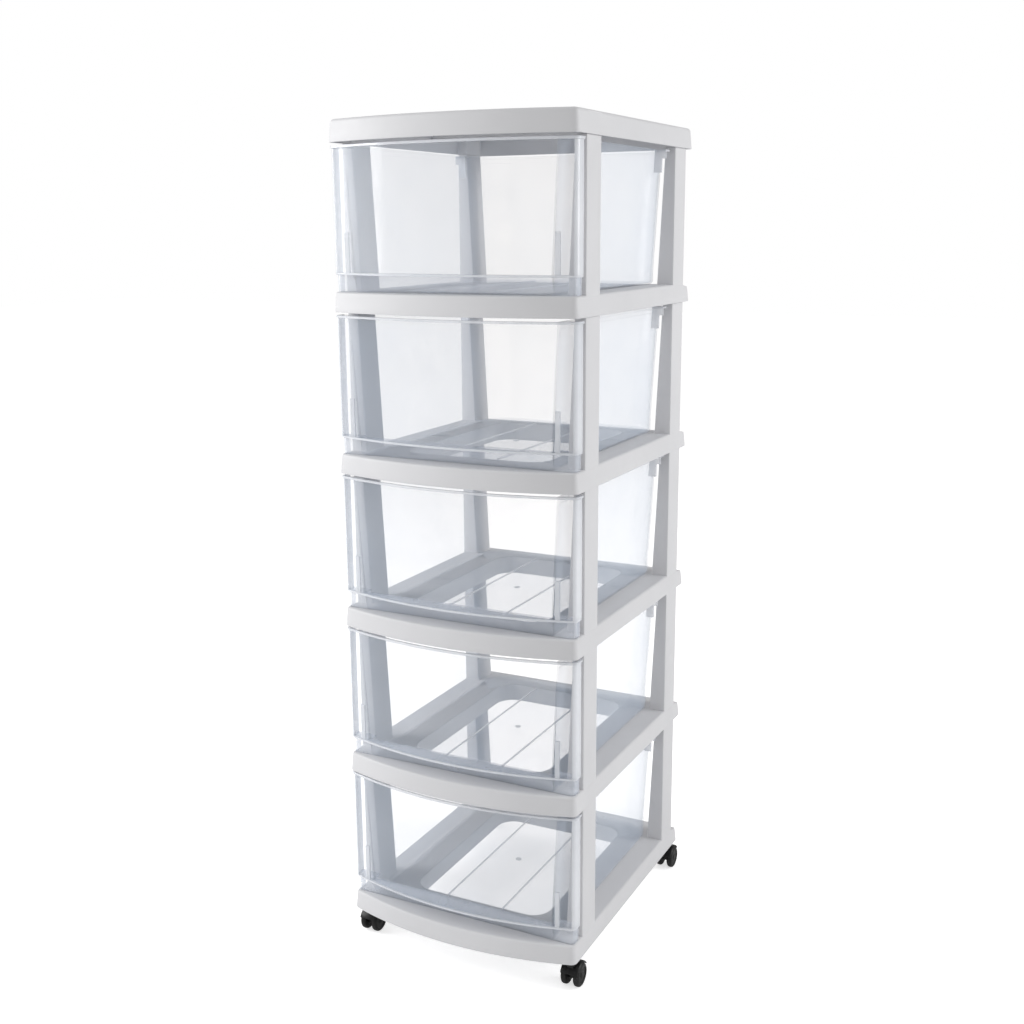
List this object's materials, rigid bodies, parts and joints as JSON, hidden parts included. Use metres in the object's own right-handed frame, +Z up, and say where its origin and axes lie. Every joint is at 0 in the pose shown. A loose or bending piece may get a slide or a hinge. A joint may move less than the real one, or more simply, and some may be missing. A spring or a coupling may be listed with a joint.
{
  "type": "drawer tower",
  "caption": "Tall rolling plastic drawer tower: bow-fronted frames stacked on tapered hollow posts, clear pull-out drawers, a top cover and swivel casters with paired wheels.",
  "frame": {"origin": "centre of the footprint's bounding box, on the floor", "axes": "+X to the right seen from the front, -Y to the front (the drawers pull out towards -Y), +Z up"},
  "size_m": [0.32, 0.403, 1.0455],
  "materials": {
    "frame_plastic": "satin injection-moulded plastic, pale grey",
    "clear_plastic": "clear injection-moulded plastic",
    "caster_plastic": "black moulded plastic",
    "wheel_plastic": "black moulded plastic",
    "steel": "plated steel"
  },
  "bodies": {
    "frame": {"top_cover": "frame_plastic", "tier_frame_1": "frame_plastic", "tier_frame_2": "frame_plastic", "tier_frame_3": "frame_plastic", "tier_frame_4": "frame_plastic", "base_frame": "frame_plastic"},
    "drawer_1": {"drawer_1": "clear_plastic"},
    "drawer_2": {"drawer_2": "clear_plastic"},
    "drawer_3": {"drawer_3": "clear_plastic"},
    "drawer_4": {"drawer_4": "clear_plastic"},
    "drawer_5": {"drawer_5": "clear_plastic"},
    "caster_front_left": {"caster_stem_front_left": "steel", "caster_hood_front_left": "caster_plastic", "caster_axle_front_left": "steel"},
    "wheel_left_front_left": {"caster_wheel_left_front_left": "wheel_plastic"},
    "wheel_right_front_left": {"caster_wheel_right_front_left": "wheel_plastic"},
    "caster_front_right": {"caster_stem_front_right": "steel", "caster_hood_front_right": "caster_plastic", "caster_axle_front_right": "steel"},
    "wheel_left_front_right": {"caster_wheel_left_front_right": "wheel_plastic"},
    "wheel_right_front_right": {"caster_wheel_right_front_right": "wheel_plastic"},
    "caster_rear_left": {"caster_stem_rear_left": "steel", "caster_hood_rear_left": "caster_plastic", "caster_axle_rear_left": "steel"},
    "wheel_left_rear_left": {"caster_wheel_left_rear_left": "wheel_plastic"},
    "wheel_right_rear_left": {"caster_wheel_right_rear_left": "wheel_plastic"},
    "caster_rear_right": {"caster_stem_rear_right": "steel", "caster_hood_rear_right": "caster_plastic", "caster_axle_rear_right": "steel"},
    "wheel_left_rear_right": {"caster_wheel_left_rear_right": "wheel_plastic"},
    "wheel_right_rear_right": {"caster_wheel_right_rear_right": "wheel_plastic"}
  },
  "joints": [
    {"name": "drawer_1_slide", "type": "slide", "parent": "frame", "child": "drawer_1", "axis": [0, -1, 0], "range_m": [0, 0.22]},
    {"name": "drawer_2_slide", "type": "slide", "parent": "frame", "child": "drawer_2", "axis": [0, -1, 0], "range_m": [0, 0.22]},
    {"name": "drawer_3_slide", "type": "slide", "parent": "frame", "child": "drawer_3", "axis": [0, -1, 0], "range_m": [0, 0.22]},
    {"name": "drawer_4_slide", "type": "slide", "parent": "frame", "child": "drawer_4", "axis": [0, -1, 0], "range_m": [0, 0.22]},
    {"name": "drawer_5_slide", "type": "slide", "parent": "frame", "child": "drawer_5", "axis": [0, -1, 0], "range_m": [0, 0.22]},
    {"name": "caster_front_left_swivel", "type": "hinge", "parent": "frame", "child": "caster_front_left", "pos_m": [-0.147, -0.158, 0.044], "axis": [0, 0, 1], "continuous": true},
    {"name": "wheel_left_front_left_spin", "type": "hinge", "parent": "caster_front_left", "child": "wheel_left_front_left", "pos_m": [-0.147, -0.151, 0.015], "axis": [1, 0, 0], "continuous": true},
    {"name": "wheel_right_front_left_spin", "type": "hinge", "parent": "caster_front_left", "child": "wheel_right_front_left", "pos_m": [-0.147, -0.151, 0.015], "axis": [1, 0, 0], "continuous": true},
    {"name": "caster_front_right_swivel", "type": "hinge", "parent": "frame", "child": "caster_front_right", "pos_m": [0.147, -0.158, 0.044], "axis": [0, 0, 1], "continuous": true},
    {"name": "wheel_left_front_right_spin", "type": "hinge", "parent": "caster_front_right", "child": "wheel_left_front_right", "pos_m": [0.147, -0.151, 0.015], "axis": [1, 0, 0], "continuous": true},
    {"name": "wheel_right_front_right_spin", "type": "hinge", "parent": "caster_front_right", "child": "wheel_right_front_right", "pos_m": [0.147, -0.151, 0.015], "axis": [1, 0, 0], "continuous": true},
    {"name": "caster_rear_left_swivel", "type": "hinge", "parent": "frame", "child": "caster_rear_left", "pos_m": [-0.147, 0.1795, 0.044], "axis": [0, 0, 1], "continuous": true},
    {"name": "wheel_left_rear_left_spin", "type": "hinge", "parent": "caster_rear_left", "child": "wheel_left_rear_left", "pos_m": [-0.147, 0.1865, 0.015], "axis": [1, 0, 0], "continuous": true},
    {"name": "wheel_right_rear_left_spin", "type": "hinge", "parent": "caster_rear_left", "child": "wheel_right_rear_left", "pos_m": [-0.147, 0.1865, 0.015], "axis": [1, 0, 0], "continuous": true},
    {"name": "caster_rear_right_swivel", "type": "hinge", "parent": "frame", "child": "caster_rear_right", "pos_m": [0.147, 0.1795, 0.044], "axis": [0, 0, 1], "continuous": true},
    {"name": "wheel_left_rear_right_spin", "type": "hinge", "parent": "caster_rear_right", "child": "wheel_left_rear_right", "pos_m": [0.147, 0.1865, 0.015], "axis": [1, 0, 0], "continuous": true},
    {"name": "wheel_right_rear_right_spin", "type": "hinge", "parent": "caster_rear_right", "child": "wheel_right_rear_right", "pos_m": [0.147, 0.1865, 0.015], "axis": [1, 0, 0], "continuous": true}
  ]
}
